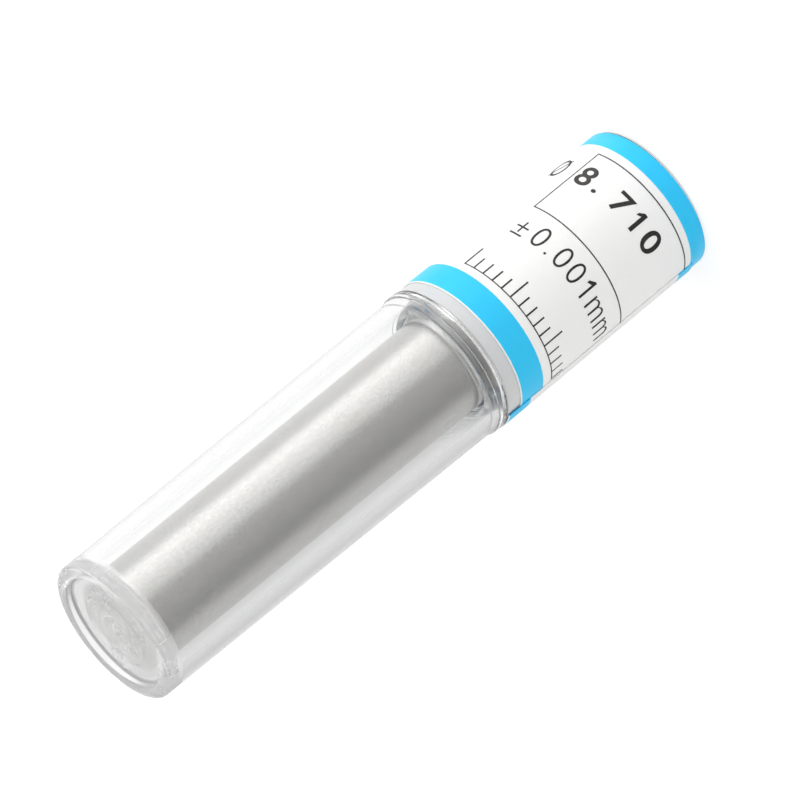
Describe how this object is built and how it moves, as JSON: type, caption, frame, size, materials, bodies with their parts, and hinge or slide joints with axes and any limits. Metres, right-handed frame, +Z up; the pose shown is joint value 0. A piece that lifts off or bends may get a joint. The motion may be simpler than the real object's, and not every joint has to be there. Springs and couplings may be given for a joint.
{
  "type": "pin gauge",
  "caption": "Cylindrical steel pin gauge in a clear round storage tube: a labelled moulded base with a lift-off clear tube over the pin.",
  "frame": {"origin": "centre of the ring face that the base stands on", "axes": "+Z up along the pin and tube, from the labelled base to the closed end of the clear tube"},
  "size_m": [0.0137, 0.0136, 0.0598],
  "materials": {
    "clear_base": "clear moulded plastic, glossy",
    "printed_paper": "smooth white label paper with a blue band along each edge",
    "ground_steel": "centreless-ground, fine marks round the pin",
    "clear_tube": "clear moulded plastic, glossy"
  },
  "bodies": {
    "base": {"tube_base": "clear_base", "paper_label": "printed_paper", "gauge_pin": "ground_steel"},
    "tube": {"clear_tube": "clear_tube"}
  },
  "joints": [
    {"name": "tube_lift", "type": "slide", "parent": "base", "child": "tube", "axis": [0, 0, 1], "range_m": [0, 0.042]}
  ]
}
